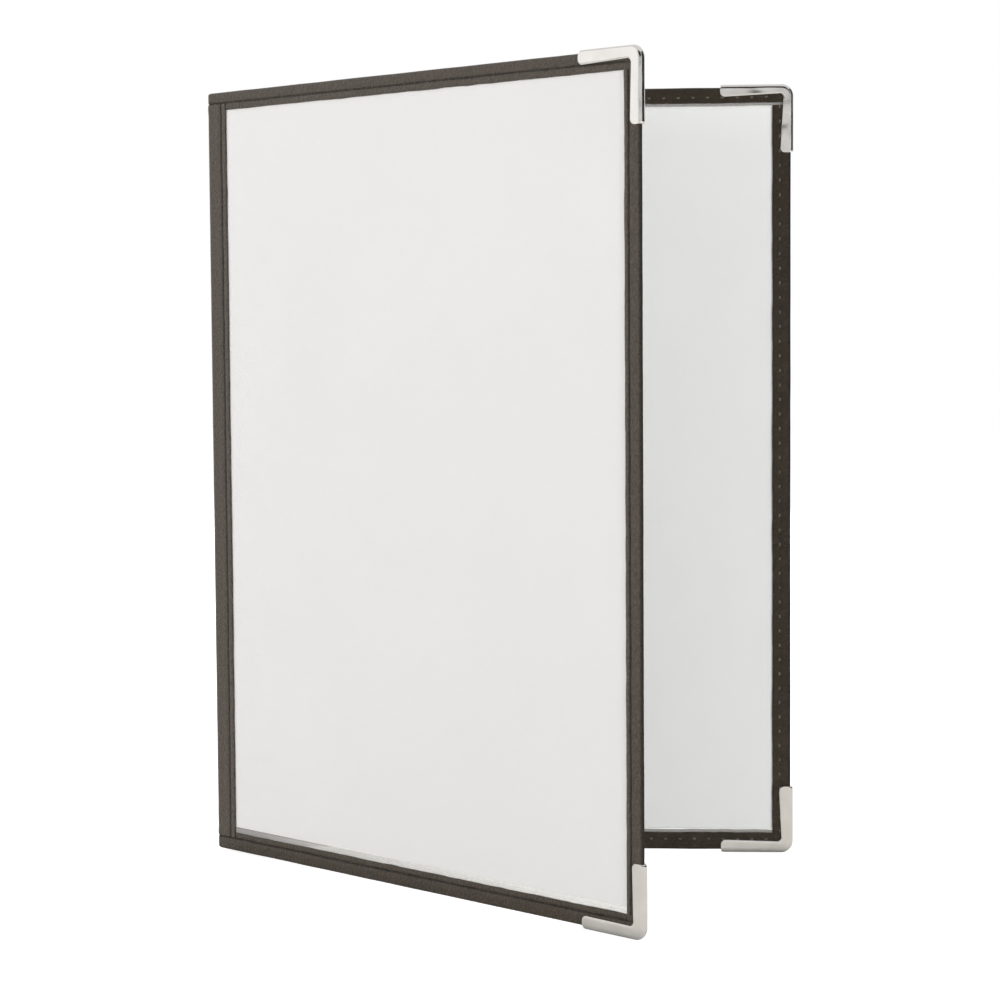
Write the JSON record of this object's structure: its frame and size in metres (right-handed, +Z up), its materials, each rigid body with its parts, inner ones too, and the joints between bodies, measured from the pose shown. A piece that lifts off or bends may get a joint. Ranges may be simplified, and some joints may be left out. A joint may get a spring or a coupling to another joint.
{
  "type": "menu cover",
  "caption": "Book-fold menu cover with clear vinyl pockets, sewn leatherette binding and bright metal corners, standing opened on its edges.",
  "frame": {"origin": "middle of the opened cover's footprint, at the level of the table", "axes": "+Z up along the spine, +X from the spine along the back panel, and the front panel swings out towards -Y"},
  "size_m": [0.2256, 0.1512, 0.297],
  "materials": {
    "clear_vinyl": "clear, glossy",
    "leatherette": "dark taupe, fine pebble grain, satin",
    "bright_metal": "polished nickel",
    "seam_thread": "waxed thread",
    "menu_card": "plain, uncoated"
  },
  "bodies": {
    "back_panel": {"back_bottom_corner": "bright_metal", "back_bottom_inner_stitches": "seam_thread", "back_bottom_outer_stitches": "seam_thread", "back_bottom_tape": "leatherette", "back_inner_window": "clear_vinyl", "back_menu_card": "menu_card", "back_outer_window": "clear_vinyl", "back_side_inner_stitches": "seam_thread", "back_side_outer_stitches": "seam_thread", "back_side_tape": "leatherette", "back_spine_stitches": "seam_thread", "back_spine_wing": "leatherette", "back_top_corner": "bright_metal", "back_top_inner_stitches": "seam_thread", "back_top_outer_stitches": "seam_thread", "back_top_tape": "leatherette", "spine_fold": "leatherette", "top_tape_fold": "leatherette", "bottom_tape_fold": "leatherette"},
    "front_panel": {"front_bottom_corner": "bright_metal", "front_bottom_inner_stitches": "seam_thread", "front_bottom_outer_stitches": "seam_thread", "front_bottom_tape": "leatherette", "front_inner_window": "clear_vinyl", "front_menu_card": "menu_card", "front_outer_window": "clear_vinyl", "front_side_inner_stitches": "seam_thread", "front_side_outer_stitches": "seam_thread", "front_side_tape": "leatherette", "front_spine_stitches": "seam_thread", "front_spine_wing": "leatherette", "front_top_corner": "bright_metal", "front_top_inner_stitches": "seam_thread", "front_top_outer_stitches": "seam_thread", "front_top_tape": "leatherette"}
  },
  "joints": [
    {"name": "spine_hinge", "type": "hinge", "parent": "back_panel", "child": "front_panel", "pos_m": [-0.11023, 0.0725, 0.1485], "axis": [0, 0, -1], "range_deg": [-41, 139], "deforming": ["spine_fold", "top_tape_fold", "bottom_tape_fold"]}
  ]
}
